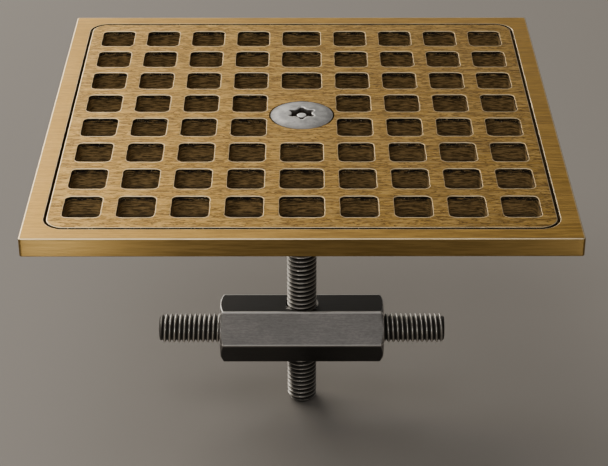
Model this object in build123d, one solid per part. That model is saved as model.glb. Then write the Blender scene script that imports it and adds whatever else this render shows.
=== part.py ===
from build123d import *
import math
import os

# Square floor drain grate that is held down from inside the drain pipe.
#
# A flat frame rests on the floor around the drain. A strainer plate drops into the frame.
# A long screw passes through the strainer's middle into a hexagonal clamp bar, and two
# studs reach out of the bar's ends to the pipe wall. The studs stop the bar from turning,
# so that tightening the screw draws the bar up.
#
# Row frame, millimetres: +Z up, +X along the clamp bar, +Y along the frame's other side.
# The origin is the centre of the frame's underside.

# ---------------------------------------------------------------- driving dimensions
INCH = 25.4

# frame: 7 in square, 1/4 in thick
FRAME_SIDE = 7 * INCH
FRAME_THICKNESS = INCH / 4
FRAME_CORNER_RADIUS = 1.0
FRAME_TOP_BEVEL = 0.5
FRAME_BOTTOM_BEVEL = 0.3
RIM_WIDTH = 6.5
RECESS_CORNER_RADIUS = 7.0
LEDGE_WIDTH = 3.5
LEDGE_THICKNESS = 2.8

# strainer plate
SEAT_GAP = 0.8
THROAT_GAP = 0.5
PLATE_UNDERSIDE = -2.0
PLATE_EDGE_BEVEL = 0.35
COLUMNS_EACH_SIDE = 4
FIRST_COLUMN_X = 18.6
COLUMN_PITCH = 17.4
ROW_COUNT = 8
ROW_PITCH = 19.36
HOLE_WIDTH = 12.2
CENTRE_HOLE_WIDTH = 14.5
HOLE_DEPTH = 13.9
HOLE_CORNER_RADIUS = 2.0
HOLE_BEVEL = 0.35
BOSS_DIAMETER = 30.0
BOSS_HEIGHT = 3.0
BOSS_FILLET = 1.5

# 7/16-14 screw thread, shared by the screw and both studs
THREAD_DIAMETER = 7 / 16 * INCH
THREADS_PER_INCH = 14
THREAD_DEPTH_SHARE = 0.6134
CREST_SHARE = 1 / 8
FLANK_SHARE = 5 / 16
SMALLEST_RIDGE = 0.15
END_LAND = 0.4
BORE_CLEARANCE = 0.08

# centre screw: raised countersunk head, 4 3/4 in long from the top of the frame
SCREW_LENGTH = 4.75 * INCH
HEAD_DIAMETER = 7 / 8 * INCH
HEAD_ANGLE = 82.0
HEAD_RIM_HEIGHT = 0.3
HEAD_DOME_HEIGHT = 1.05
HEAD_SEAT_CLEARANCE = 0.06
NECK_LENGTH = 4.0
SCREW_TIP_CHAMFER = 1.7

# drive recess: six lobes with a pin in the middle
RECESS_POINT_DIAMETER = 9.9
RECESS_WAIST_DIAMETER = 7.1
RECESS_LOBE_RADIUS = 0.85
RECESS_DEPTH = 3.6
DRIVE_PIN_DIAMETER = 3.4
DRIVE_PIN_DROP = 0.9
DRIVE_PIN_ROUND = 0.4

# clamp bar: 7/8 in hexagon, flats up and down
BAR_ACROSS_FLATS = 7 / 8 * INCH
BAR_LENGTH = 61.5
BAR_AXIS_BELOW_TOP = 89.5
BAR_END_CHAMFER = 1.3
BAR_END_CUT = 2.0
BORE_CHAMFER = 0.5

# studs
STUD_SPAN = 107.5
STUD_LENGTH = 37.0
STUD_TIP_CHAMFER = 1.3

# ---------------------------------------------------------------- derived sizes
TOP = FRAME_THICKNESS
RECESS_SIDE = FRAME_SIDE - 2 * RIM_WIDTH
THROAT_SIDE = RECESS_SIDE - 2 * LEDGE_WIDTH
THROAT_RADIUS = RECESS_CORNER_RADIUS - LEDGE_WIDTH
THREAD_RADIUS = THREAD_DIAMETER / 2
THREAD_PITCH = INCH / THREADS_PER_INCH
ROOT_RADIUS = THREAD_RADIUS - THREAD_DEPTH_SHARE * THREAD_PITCH
BORE_RADIUS = THREAD_RADIUS + BORE_CLEARANCE
SCREW_TIP_Z = TOP - SCREW_LENGTH
BAR_AXIS_Z = TOP - BAR_AXIS_BELOW_TOP
BAR_ACROSS_CORNERS = BAR_ACROSS_FLATS * 2 / math.sqrt(3)
HALF_HEAD_ANGLE = math.radians(HEAD_ANGLE / 2)
NECK_RADIUS = THREAD_RADIUS
SCREW_THREAD_TOP = PLATE_UNDERSIDE - NECK_LENGTH


# ---------------------------------------------------------------- shared shapes
def rounded_slab(side, corner_radius, low, high):
    """A square slab with rounded upright corners, between two heights."""
    with BuildPart() as slab:
        with BuildSketch(Plane.XY.offset(low)):
            RectangleRounded(side, side, corner_radius)
        extrude(amount=high - low)
    return slab.part


def ridged_profile(low, high, low_chamfer, high_chamfer):
    """The outline of a threaded rod along +Z, as (radius, height) points up its outside.

    Every turn of the thread is drawn as one ring, with the thread's own ridge section.
    """

    def allowed_radius(height):
        from_low = THREAD_RADIUS - low_chamfer + (height - low)
        from_high = THREAD_RADIUS - high_chamfer + (high - height)
        return min(THREAD_RADIUS, from_low, from_high)

    half_crest = THREAD_PITCH * CREST_SHARE / 2
    foot = half_crest + THREAD_PITCH * FLANK_SHARE
    ridge_count = math.floor((high - low - 2 * END_LAND) / THREAD_PITCH)
    first_ridge = (low + high - (ridge_count - 1) * THREAD_PITCH) / 2
    points = [(allowed_radius(low), low)]
    for index in range(ridge_count):
        middle = first_ridge + index * THREAD_PITCH
        lower_crest = (allowed_radius(middle - half_crest), middle - half_crest)
        upper_crest = (allowed_radius(middle + half_crest), middle + half_crest)
        if min(lower_crest[0], upper_crest[0]) > ROOT_RADIUS + SMALLEST_RIDGE:
            points.append((ROOT_RADIUS, middle - foot))
            points.append(lower_crest)
            points.append(upper_crest)
            points.append((ROOT_RADIUS, middle + foot))
    points.append((allowed_radius(high), high))
    return points


def turned(profile):
    """The solid made by turning an outline of (radius, height) points about +Z."""
    bottom = (0, profile[0][1])
    top = (0, profile[-1][1])
    with BuildPart() as solid:
        with BuildSketch(Plane.XZ):
            with BuildLine():
                Polyline(bottom, *profile, top, close=True)
            make_face()
        revolve(axis=Axis.Z)
    return solid.part


# ---------------------------------------------------------------- frame
def make_frame():
    """The floor frame: a flat rim with a lower ledge that carries the strainer."""
    frame = rounded_slab(FRAME_SIDE, FRAME_CORNER_RADIUS, 0, TOP)
    frame = chamfer(frame.edges().group_by(Axis.Z)[-1], FRAME_TOP_BEVEL)
    frame = chamfer(frame.edges().group_by(Axis.Z)[0], FRAME_BOTTOM_BEVEL)
    recess = rounded_slab(RECESS_SIDE, RECESS_CORNER_RADIUS, LEDGE_THICKNESS, TOP + 1)
    throat = rounded_slab(THROAT_SIDE, THROAT_RADIUS, -1, TOP)
    frame = frame - recess - throat
    recess_edges = [
        edge
        for edge in frame.edges().group_by(Axis.Z)[-1]
        if max(abs(edge.center().X), abs(edge.center().Y)) < RECESS_SIDE / 2 + 0.01
    ]
    return chamfer(recess_edges, PLATE_EDGE_BEVEL)


# ---------------------------------------------------------------- strainer
def hole_centres():
    """Centre and width of every drain hole."""
    side_columns = [FIRST_COLUMN_X + COLUMN_PITCH * step for step in range(COLUMNS_EACH_SIDE)]
    columns = [(0.0, CENTRE_HOLE_WIDTH)]
    for distance in side_columns:
        columns.append((distance, HOLE_WIDTH))
        columns.append((-distance, HOLE_WIDTH))
    rows = [(step - (ROW_COUNT - 1) / 2) * ROW_PITCH for step in range(ROW_COUNT)]
    holes = []
    for x, width in columns:
        for y in rows:
            beside_screw = x == 0.0 and abs(y) < ROW_PITCH
            if not beside_screw:
                holes.append((x, y, width))
    return holes


def make_hole_cutter(width):
    """One drain hole with its bevelled mouth, centred on the Z axis."""
    with BuildPart() as cutter:
        with BuildSketch(Plane.XY.offset(PLATE_UNDERSIDE - 1)):
            RectangleRounded(width, HOLE_DEPTH, HOLE_CORNER_RADIUS)
        extrude(amount=TOP - PLATE_UNDERSIDE + 1)
        with BuildSketch(Plane.XY.offset(TOP - HOLE_BEVEL)):
            RectangleRounded(width, HOLE_DEPTH, HOLE_CORNER_RADIUS)
        with BuildSketch(Plane.XY.offset(TOP)):
            RectangleRounded(
                width + 2 * HOLE_BEVEL,
                HOLE_DEPTH + 2 * HOLE_BEVEL,
                HOLE_CORNER_RADIUS + HOLE_BEVEL,
            )
        loft()
    return cutter.part


def make_strainer():
    """The lift-out plate: a flange on the frame's ledge, a body in its throat, a screw boss."""
    flange_side = RECESS_SIDE - 2 * SEAT_GAP
    flange = rounded_slab(flange_side, RECESS_CORNER_RADIUS - SEAT_GAP, LEDGE_THICKNESS, TOP)
    flange = chamfer(flange.edges().group_by(Axis.Z)[-1], PLATE_EDGE_BEVEL)
    body_side = THROAT_SIDE - 2 * THROAT_GAP
    body = rounded_slab(body_side, THROAT_RADIUS - THROAT_GAP, PLATE_UNDERSIDE, LEDGE_THICKNESS)
    boss = Pos(0, 0, PLATE_UNDERSIDE) * Cylinder(
        BOSS_DIAMETER / 2, BOSS_HEIGHT, align=(Align.CENTER, Align.CENTER, Align.MAX)
    )
    boss = fillet(boss.edges().group_by(Axis.Z)[0], BOSS_FILLET)
    plate = flange + body + boss
    cutters = {width: make_hole_cutter(width) for width in (HOLE_WIDTH, CENTRE_HOLE_WIDTH)}
    holes = [Pos(x, y, 0) * cutters[width] for x, y, width in hole_centres()]
    plate = plate - holes
    return plate - make_head_seat()


def make_head_seat():
    """The countersink and the clearance hole that the centre screw sits in."""
    mouth_radius = HEAD_DIAMETER / 2 + HEAD_SEAT_CLEARANCE
    seat_depth = (mouth_radius - BORE_RADIUS) / math.tan(HALF_HEAD_ANGLE)
    cone_top = TOP - HEAD_RIM_HEIGHT
    with BuildPart() as seat:
        with BuildSketch(Plane.XZ):
            with BuildLine():
                Polyline(
                    (0, TOP + 1),
                    (mouth_radius, TOP + 1),
                    (mouth_radius, cone_top),
                    (BORE_RADIUS, cone_top - seat_depth),
                    (BORE_RADIUS, PLATE_UNDERSIDE - BOSS_HEIGHT - 1),
                    (0, PLATE_UNDERSIDE - BOSS_HEIGHT - 1),
                    close=True,
                )
            make_face()
        revolve(axis=Axis.Z)
    return seat.part


# ---------------------------------------------------------------- centre screw
def make_screw_head():
    """The domed head, its countersunk cone and the plain neck above the thread."""
    head_radius = HEAD_DIAMETER / 2
    rim_bottom = TOP - HEAD_RIM_HEIGHT
    cone_bottom = rim_bottom - (head_radius - NECK_RADIUS) / math.tan(HALF_HEAD_ANGLE)
    dome_top = (0, TOP + HEAD_DOME_HEIGHT)
    dome_radius = (head_radius**2 + HEAD_DOME_HEIGHT**2) / (2 * HEAD_DOME_HEIGHT)
    dome_centre_z = TOP + HEAD_DOME_HEIGHT - dome_radius
    middle_x = head_radius / 2
    middle_z = dome_centre_z + math.sqrt(dome_radius**2 - middle_x**2)
    with BuildPart() as head:
        with BuildSketch(Plane.XZ):
            with BuildLine():
                ThreePointArc(dome_top, (middle_x, middle_z), (head_radius, TOP))
                Polyline(
                    (head_radius, TOP),
                    (head_radius, rim_bottom),
                    (NECK_RADIUS, cone_bottom),
                    (NECK_RADIUS, SCREW_THREAD_TOP),
                    (0, SCREW_THREAD_TOP),
                    dome_top,
                )
            make_face()
        revolve(axis=Axis.Z)
    return head.part


def make_drive_recess():
    """Six-lobed socket cutter: round lobes joined by hollow arcs that meet them smoothly."""
    lobe_centre = RECESS_POINT_DIAMETER / 2 - RECESS_LOBE_RADIUS
    waist = RECESS_WAIST_DIAMETER / 2
    cosine = math.cos(math.radians(30))
    sine = math.sin(math.radians(30))
    hollow_radius = (
        RECESS_LOBE_RADIUS**2 - lobe_centre**2 - waist**2 + 2 * lobe_centre * waist * cosine
    ) / (2 * waist - 2 * lobe_centre * cosine - 2 * RECESS_LOBE_RADIUS)
    hollow_centre = waist + hollow_radius
    share = RECESS_LOBE_RADIUS / (RECESS_LOBE_RADIUS + hollow_radius)
    meeting_x = lobe_centre + share * (hollow_centre * cosine - lobe_centre)
    meeting_y = share * hollow_centre * sine
    lobe = [(meeting_x, -meeting_y), (RECESS_POINT_DIAMETER / 2, 0), (meeting_x, meeting_y)]
    top = TOP + HEAD_DOME_HEIGHT + 1
    bottom = TOP + HEAD_DOME_HEIGHT - RECESS_DEPTH
    with BuildPart() as socket:
        with BuildSketch(Plane.XY.offset(bottom)):
            with BuildLine():
                for turn in range(0, 360, 60):
                    low, tip, high = [Vector(x, y).rotate(Axis.Z, turn) for x, y in lobe]
                    next_low = low.rotate(Axis.Z, 60)
                    middle = Vector(waist, 0).rotate(Axis.Z, turn + 30)
                    ThreePointArc(low, tip, high)
                    ThreePointArc(high, middle, next_low)
            make_face()
        extrude(amount=top - bottom)
    return socket.part.rotate(Axis.Z, 30)


def make_drive_pin():
    """The pin that stands in the middle of the recess and keeps plain keys out."""
    overlap = 1.0
    height = RECESS_DEPTH - DRIVE_PIN_DROP + overlap
    pin = Cylinder(DRIVE_PIN_DIAMETER / 2, height, align=(Align.CENTER, Align.CENTER, Align.MIN))
    pin = fillet(pin.edges().group_by(Axis.Z)[-1], DRIVE_PIN_ROUND)
    return Pos(0, 0, TOP + HEAD_DOME_HEIGHT - RECESS_DEPTH - overlap) * pin


def make_centre_screw():
    """The raised countersunk screw that pulls the clamp bar towards the strainer."""
    head = make_screw_head() - make_drive_recess() + make_drive_pin()
    shank = turned(ridged_profile(SCREW_TIP_Z, SCREW_THREAD_TOP, SCREW_TIP_CHAMFER, 0))
    return head + shank


# ---------------------------------------------------------------- clamp bar
def make_clamp_bar():
    """Hexagonal bar with turned ends, an upright bore for the screw and a bore along it."""
    half = BAR_LENGTH / 2
    hexagon = Plane.YZ.offset(-half) * RegularPolygon(BAR_ACROSS_CORNERS / 2, 6)
    bar = extrude(hexagon, amount=BAR_LENGTH)
    corner_radius = BAR_ACROSS_CORNERS / 2
    lathe_blank = Rot(0, 90, 0) * Cylinder(corner_radius, BAR_LENGTH)
    rims = lathe_blank.edges().filter_by(GeomType.CIRCLE)
    bar = bar & chamfer(rims, BAR_END_CHAMFER, BAR_END_CUT)
    screw_bore = make_bore_cutter(BAR_ACROSS_FLATS)
    stud_bore = Rot(0, 90, 0) * make_bore_cutter(BAR_LENGTH)
    bar = bar - screw_bore - stud_bore
    return Pos(0, 0, BAR_AXIS_Z) * bar


def make_bore_cutter(length):
    """A through bore of the thread's size, chamfered at both mouths, centred on the origin."""
    mouth = BORE_RADIUS + BORE_CHAMFER
    half = length / 2
    with BuildPart() as cutter:
        with BuildSketch(Plane.XZ):
            with BuildLine():
                Polyline(
                    (0, -half - 1),
                    (mouth, -half - 1),
                    (mouth, -half),
                    (BORE_RADIUS, -half + BORE_CHAMFER),
                    (BORE_RADIUS, half - BORE_CHAMFER),
                    (mouth, half),
                    (mouth, half + 1),
                    (0, half + 1),
                    close=True,
                )
            make_face()
        revolve(axis=Axis.Z)
    return cutter.part


# ---------------------------------------------------------------- studs
def make_stud(side):
    """A fully threaded stud with chamfered ends. side is +1 on the right, -1 on the left."""
    inner_end = STUD_SPAN / 2 - STUD_LENGTH
    outer_end = STUD_SPAN / 2
    stud = turned(ridged_profile(inner_end, outer_end, STUD_TIP_CHAMFER, STUD_TIP_CHAMFER))
    return Pos(0, 0, BAR_AXIS_Z) * Rot(0, side * 90, 0) * stud


# ---------------------------------------------------------------- files
nodes = {
    "frame": make_frame(),
    "strainer": make_strainer(),
    "centre_screw": make_centre_screw(),
    "clamp_bar": make_clamp_bar(),
    "right_stud": make_stud(1),
    "left_stud": make_stud(-1),
}
os.makedirs("parts", exist_ok=True)
for name, shape in nodes.items():
    export_step(shape, f"parts/{name}.step")
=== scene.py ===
import math

import bmesh
import bpy
from mathutils import Matrix, Vector, noise


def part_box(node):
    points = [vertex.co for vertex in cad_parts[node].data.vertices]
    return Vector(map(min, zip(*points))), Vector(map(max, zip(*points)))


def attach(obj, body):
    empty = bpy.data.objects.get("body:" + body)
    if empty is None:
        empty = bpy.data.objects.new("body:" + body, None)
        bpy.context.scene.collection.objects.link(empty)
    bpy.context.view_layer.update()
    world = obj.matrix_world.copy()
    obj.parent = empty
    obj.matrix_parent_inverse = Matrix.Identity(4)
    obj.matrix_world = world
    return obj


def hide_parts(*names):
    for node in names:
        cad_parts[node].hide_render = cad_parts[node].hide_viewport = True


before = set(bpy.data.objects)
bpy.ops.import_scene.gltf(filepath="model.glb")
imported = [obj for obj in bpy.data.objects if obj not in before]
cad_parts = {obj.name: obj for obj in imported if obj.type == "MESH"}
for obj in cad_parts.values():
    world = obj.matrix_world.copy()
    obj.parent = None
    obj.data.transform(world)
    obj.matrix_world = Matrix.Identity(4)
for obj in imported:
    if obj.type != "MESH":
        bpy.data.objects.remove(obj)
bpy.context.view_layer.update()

# Floor drain grate: brushed brass frame and strainer, satin screw head, dark steel clamp.
# Metres, in the CAD frame: +Z up, +X along the clamp bar, origin at the centre of the
# frame's underside.

MM = 0.001
INCH = 25.4 * MM

# ---------------------------------------------------------------- sizes taken from the frame
frame_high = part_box("frame")[1]
plate_low, plate_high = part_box("strainer")
screw_low, screw_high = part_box("centre_screw")
bar_low, bar_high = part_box("clamp_bar")
stud_low, stud_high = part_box("right_stud")

# the floor frame and the recess in it
TOP = frame_high[2]
FRAME_HALF = frame_high[0]
FRAME_RADIUS = 1.0 * MM
RIM_WIDTH = 6.5 * MM
RECESS_HALF = FRAME_HALF - RIM_WIDTH
RECESS_RADIUS = 7.0 * MM
LEDGE_WIDTH = 3.5 * MM
LEDGE_TOP = 2.8 * MM
THROAT_HALF = RECESS_HALF - LEDGE_WIDTH
THROAT_RADIUS = RECESS_RADIUS - LEDGE_WIDTH

# the strainer: a flange on the ledge, a body in the throat and a boss under its middle
FLANGE_HALF = plate_high[0]
SEAT_GAP = RECESS_HALF - FLANGE_HALF
FLANGE_RADIUS = RECESS_RADIUS - SEAT_GAP
BODY_GAP = 0.5 * MM
BODY_HALF = THROAT_HALF - BODY_GAP
BODY_RADIUS = THROAT_RADIUS - BODY_GAP
BOSS_DEPTH = 3.0 * MM
BOSS_BOTTOM = plate_low[2]
PLATE_BOTTOM = BOSS_BOTTOM + BOSS_DEPTH
BOSS_RADIUS = 15.0 * MM
BOSS_FILLET = 1.5 * MM

# the drain holes: four columns on each side of a wider middle one
FIRST_COLUMN_X = 18.6 * MM
COLUMN_PITCH = 17.4 * MM
COLUMNS_X = [0.0] + [FIRST_COLUMN_X + COLUMN_PITCH * step for step in range(4)]
ROW_PITCH = 19.36 * MM
ROW_COUNT = 8
GRID_HALF_X = 77.75 * MM
GRID_HALF_Y = 76.6 * MM
HOLE_HALF_X = 6.1 * MM
CENTRE_HOLE_HALF_X = 7.25 * MM
HOLE_HALF_Y = 6.95 * MM
HOLE_RADIUS = 2.0 * MM

# the threads and the screw's head
THREAD_RADIUS = (stud_high[2] - stud_low[2]) / 2
THREAD_PITCH = INCH / 14
THREAD_DEPTH = 0.6134 * THREAD_PITCH
TIP_CHAMFER = 1.7 * MM
SHANK_TOP_CHAMFER = 1.45 * MM
STUD_CHAMFER = 1.3 * MM
HEAD_RADIUS = screw_high[0]
HEAD_RIM = 0.3 * MM
DOME_HEIGHT = 1.05 * MM
HEAD_TOP = TOP + DOME_HEIGHT
HEAD_HALF_ANGLE = math.radians(41)
CONE_TOP = TOP - HEAD_RIM
NECK_LENGTH = 4.0 * MM
NECK_BOTTOM = PLATE_BOTTOM - NECK_LENGTH
NECK_CHAMFER = 0.2 * MM
HEAD_SEAT_RADIUS = HEAD_RADIUS + 0.06 * MM

# the drive recess: six lobes with a pin in the middle
DRIVE_POINTS = 9.9 * MM / 2
DRIVE_WAIST = 7.1 * MM / 2
DRIVE_LOBE = 0.85 * MM
DRIVE_LIP = 0.16 * MM
DRIVE_FLOOR = HEAD_TOP - 3.6 * MM
PIN_RADIUS = 1.7 * MM
PIN_ROUND = 0.4 * MM
PIN_TOP = HEAD_TOP - 0.9 * MM

# the clamp bar
BAR_AXIS_Z = (bar_low[2] + bar_high[2]) / 2
BAR_HALF_FLATS = (bar_high[2] - bar_low[2]) / 2
BAR_HALF_LENGTH = bar_high[0]
BAR_CORNER_RADIUS = bar_high[1]
BAR_END_RADIUS = BAR_CORNER_RADIUS - 2.0 * MM
BAR_END_TAPER = 1.3 * MM
BAR_END_ROUND = 0.2 * MM
BAR_EDGE_ROUND = 0.16 * MM
BAR_BLEND = 0.25 * MM
BORE_RADIUS = THREAD_RADIUS + 0.08 * MM
BORE_CHAMFER = 0.5 * MM

# how finely things are built
WELD_DISTANCE = 0.001 * MM
SIDE_STEPS = 14
ARC_STEPS = 3
WALL_STEPS = 14
TURN_STEPS = 48
HEAD_STEPS = 144
BOSS_STEPS = 180
BORE_STEPS = 96

# rounded lips and feet, and the steps of flat land beside a lip
FRAME_LIP = 0.34 * MM
FRAME_FOOT = 0.25 * MM
SEAM_LIP = 0.26 * MM
FLANGE_FOOT = 0.4 * MM
HOLE_LIP = 0.24 * MM
LAND_STEP = 0.12 * MM
OVERLAP = 0.02 * MM

# how uneven a casting is
EDGE_UNEVEN = 0.07 * MM
WALL_STREAK = 0.16 * MM
WALL_CHIP = 0.16 * MM
CHIPPED_DEPTH = 2.5 * MM

# angles in degrees above which an edge stays sharp
CASTING_SMOOTH = 35
HEAD_SMOOTH = 40
THREAD_SMOOTH = 38
BAR_SMOOTH = 30


# ---------------------------------------------------------------- small helpers
def ease(value):
    """Smooth step from 0 to 1."""
    value = min(1.0, max(0.0, value))
    return value * value * (3 - 2 * value)


def wobble(point, scale, seed=0.0):
    """Smooth noise about zero, with features of about the given size in metres."""
    place = Vector(point) / scale + Vector((seed, 2 * seed, 3 * seed))
    return noise.noise(place)


def polar(radius, angle, height):
    return Vector((radius * math.cos(angle), radius * math.sin(angle), height))

def round_angles(steps):
    """Evenly spaced directions about an axis."""
    return [math.tau * i / steps for i in range(steps)]


def lowered(points, size, seed=0.0):
    """An edge's points lowered unevenly, with dips of about the given size."""
    return [p - Vector((0, 0, EDGE_UNEVEN * abs(wobble(p, size, seed)))) for p in points]


class Skin:
    """Collects points and faces while loops of points are joined into a surface.

    Every point carries two marks that the materials read: how bright it is with wear and
    painted highlight, and how dark with old patina and painted shade. Loops run anticlockwise
    seen from +Z. A chain of loops that goes up the outside, over the top, down the inside and
    back along the bottom faces outward.
    """

    def __init__(self):
        self.points = []
        self.faces = []
        self.wear_and_highlight = []
        self.dark = []

    def loop(self, points, wear_and_highlight=0.0, dark=0.0):
        first = len(self.points)
        self.points.extend(points)
        self.wear_and_highlight += wear_and_highlight if isinstance(wear_and_highlight, list) else [wear_and_highlight] * len(points)
        self.dark += dark if isinstance(dark, list) else [dark] * len(points)
        return list(range(first, first + len(points)))

    def round_loops(self, section, angles):
        """Loops about the Z axis, from a section of (radius, height, wear and highlight, dark)."""
        return [self.loop([polar(r, a, h) for a in angles], w, d) for r, h, w, d in section]

    def bridge(self, lower, upper):
        count = len(lower)
        for i in range(count):
            j = (i + 1) % count
            self.faces.append((lower[i], lower[j], upper[j], upper[i]))

    def chain(self, loops, closed=False):
        for lower, upper in zip(loops, loops[1:]):
            self.bridge(lower, upper)
        if closed:
            self.bridge(loops[-1], loops[0])

    def cap(self, loop, upward=True):
        self.faces.append(tuple(loop) if upward else tuple(reversed(loop)))

    def zip_around(self, inner, outer, upward=True):
        """Triangles between two flat loops about the Z axis that differ in length."""

        def turn(index):
            point = self.points[index]
            return math.atan2(point[1], point[0]) % math.tau

        inner = sorted(inner, key=turn)
        outer = sorted(outer, key=turn)
        i = j = 0
        while i < len(inner) or j < len(outer):
            here, there = inner[i % len(inner)], outer[j % len(outer)]
            next_in, next_out = inner[(i + 1) % len(inner)], outer[(j + 1) % len(outer)]
            turn_in = turn(next_in) + (math.tau if i + 1 >= len(inner) else 0)
            turn_out = turn(next_out) + (math.tau if j + 1 >= len(outer) else 0)
            if j >= len(outer) or (i < len(inner) and turn_in < turn_out):
                face = (here, there, next_in)
                i += 1
            else:
                face = (here, there, next_out)
                j += 1
            self.faces.append(face if upward else tuple(reversed(face)))

    def mesh(self, name, smooth_angle):
        """The welded mesh, with edges sharper than an angle kept."""
        mesh = bpy.data.meshes.new(name)
        mesh.from_pydata([tuple(p) for p in self.points], [], self.faces)
        # the marks: wear with painted highlight, and patina with painted shade
        for mark, values in (("wear_and_highlight", self.wear_and_highlight), ("patina_and_shade", self.dark)):
            mesh.attributes.new(mark, "FLOAT", "POINT").data.foreach_set("value", values)
        shape = bmesh.new()
        shape.from_mesh(mesh)
        bmesh.ops.remove_doubles(shape, verts=shape.verts, dist=WELD_DISTANCE)
        bmesh.ops.dissolve_degenerate(shape, edges=shape.edges, dist=WELD_DISTANCE)
        shape.to_mesh(mesh)
        shape.free()
        shade(mesh, smooth_angle)
        return mesh


def shade(mesh, smooth_angle):
    mesh.shade_smooth()
    mesh.set_sharp_from_angle(angle=math.radians(smooth_angle))


def add_piece(name, mesh, body, material, node=None):
    """A piece that rides on a body, takes its finish from a slot, and may replace a CAD node."""
    piece = bpy.data.objects.new(name, mesh)
    bpy.context.scene.collection.objects.link(piece)
    mesh.materials.clear()
    mesh.materials.append(material)
    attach(piece, body)
    if node:
        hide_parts(node)
    return piece


# ---------------------------------------------------------------- outlines
def rounded_square(half, radius, height, per_side=90, per_corner=10):
    """Points of a rounded square, anticlockwise from above, starting on its right side."""
    straight = half - radius
    points = []
    for quarter in range(4):
        turn = Matrix.Rotation(math.radians(90 * quarter), 3, "Z")
        outline = [(half, -straight + 2 * straight * i / per_side) for i in range(per_side)]
        for i in range(per_corner):
            angle = math.radians(90) * i / per_corner
            corner_x = straight + radius * math.cos(angle)
            outline.append((corner_x, straight + radius * math.sin(angle)))
        points.extend(turn @ Vector((x, y, height)) for x, y in outline)
    return points


def round_edge(across, height, radius, first_angle, last_angle, steps=4):
    """Points of a small arc in a section, as (across, height), about a centre."""
    turn = last_angle - first_angle
    angles = [math.radians(first_angle + turn * i / steps) for i in range(steps + 1)]
    return [(across + radius * math.cos(a), height + radius * math.sin(a)) for a in angles]


# ---------------------------------------------------------------- frame
def frame_section():
    """The frame's section, up its outside and down its inside, as (across, height, wear and highlight).

    Two flat loops lie beside each rounded lip, so that the lip's shading ends there.
    """
    lip_top = TOP - 0.6 * FRAME_LIP
    foot = round_edge(FRAME_HALF - FRAME_FOOT, FRAME_FOOT, FRAME_FOOT, -90, 0)
    lip = round_edge(FRAME_HALF - FRAME_LIP, TOP - FRAME_LIP, FRAME_LIP, 0, 90)
    seam_lip = round_edge(RECESS_HALF + SEAM_LIP, TOP - SEAM_LIP, SEAM_LIP, 90, 180)
    wall_top = TOP - FRAME_LIP - LAND_STEP
    section = [(THROAT_HALF, 0.0, 0)]
    section += [(a, h, 0) for a, h in foot]
    section += [(FRAME_HALF, h, 0) for h in (TOP * 0.5, wall_top - LAND_STEP, wall_top)]
    # the lips are bright with wear and painted highlight
    section += [(a, h, 1 if h > lip_top else 0.1) for a, h in lip]
    section += [(FRAME_HALF - FRAME_LIP - step * LAND_STEP, TOP, wear_and_highlight) for step, wear_and_highlight in ((1, 0.6), (2, 0))]
    section += [(RECESS_HALF + SEAM_LIP + step * LAND_STEP, TOP, 0) for step in (2, 1)]
    section += [(a, h, 1) for a, h in seam_lip]
    section += [(RECESS_HALF, TOP - SEAM_LIP - LAND_STEP, 0)]
    return section + [(RECESS_HALF, LEDGE_TOP, 0), (THROAT_HALF, LEDGE_TOP, 0)]


def make_frame_mesh():
    """The floor frame: a rim with softened edges and a ledge for the strainer."""
    skin = Skin()
    loops = []
    for across, height, wear_and_highlight in frame_section():
        if across > (FRAME_HALF + RECESS_HALF) / 2:
            radius = max(0.2 * MM, FRAME_RADIUS - (FRAME_HALF - across))
        else:
            radius = RECESS_RADIUS + across - RECESS_HALF
        points = rounded_square(across, radius, height)
        if wear_and_highlight and height < TOP:
            points = lowered(points, 4 * MM)
        # the seam's walls carry the wall colour with its painted shade
        in_seam = across < RECESS_HALF + 0.6 * SEAM_LIP and height < TOP - 0.05 * MM
        loops.append(skin.loop(points, 0.0 if in_seam else float(wear_and_highlight), float(in_seam)))
    skin.chain(loops, closed=True)
    return skin.mesh("frame_casting", CASTING_SMOOTH)


# ---------------------------------------------------------------- strainer
def side_samples(low, high):
    """Evenly spaced places along one side of a cell, without the last."""
    return [low + (high - low) * i / SIDE_STEPS for i in range(SIDE_STEPS)]


def cell_border(x_low, x_high, y_low, y_high, tall=1):
    """Border of a rectangular cell, anticlockwise from its lower right corner."""
    step = (y_high - y_low) / tall
    points = []
    for part in range(tall):
        low = y_low + part * step
        points += [(x_high, y) for y in side_samples(low, low + step)]
    points += [(x, y_high) for x in side_samples(x_high, x_low)]
    for part in range(tall):
        high = y_high - part * step
        points += [(x_low, y) for y in side_samples(high, high - step)]
    points += [(x, y_low) for x in side_samples(x_low, x_high)]
    return points


def hole_outline(centre_x, centre_y, half_x):
    """Points of a drain hole with their outward directions, matched to its cell's border."""
    core_x = half_x - HOLE_RADIUS
    core_y = HOLE_HALF_Y - HOLE_RADIUS
    corners = [(core_x, -core_y), (core_x, core_y), (-core_x, core_y), (-core_x, -core_y)]
    outline = []
    for index, (x, y) in enumerate(corners):
        next_x, next_y = corners[(index + 1) % 4]
        start = 90 * index
        outline += [(x, y, start - 45 + 45 * i / ARC_STEPS) for i in range(ARC_STEPS)]
        flat_steps = SIDE_STEPS - 2 * ARC_STEPS
        for i in range(flat_steps):
            share = i / flat_steps
            outline.append((x + (next_x - x) * share, y + (next_y - y) * share, start))
        outline += [(next_x, next_y, start + 45 * i / ARC_STEPS) for i in range(ARC_STEPS)]
    points = []
    for x, y, degrees in outline:
        out_x, out_y = math.cos(math.radians(degrees)), math.sin(math.radians(degrees))
        place = (centre_x + x + HOLE_RADIUS * out_x, centre_y + y + HOLE_RADIUS * out_y)
        points.append((*place, out_x, out_y))
    return points


def at_height(points, height):
    return [Vector((p[0], p[1], height)) for p in points]


def between(first, second, share):
    pairs = zip(first, second)
    return [(a[0] + (b[0] - a[0]) * share, a[1] + (b[1] - a[1]) * share) for a, b in pairs]


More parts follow.
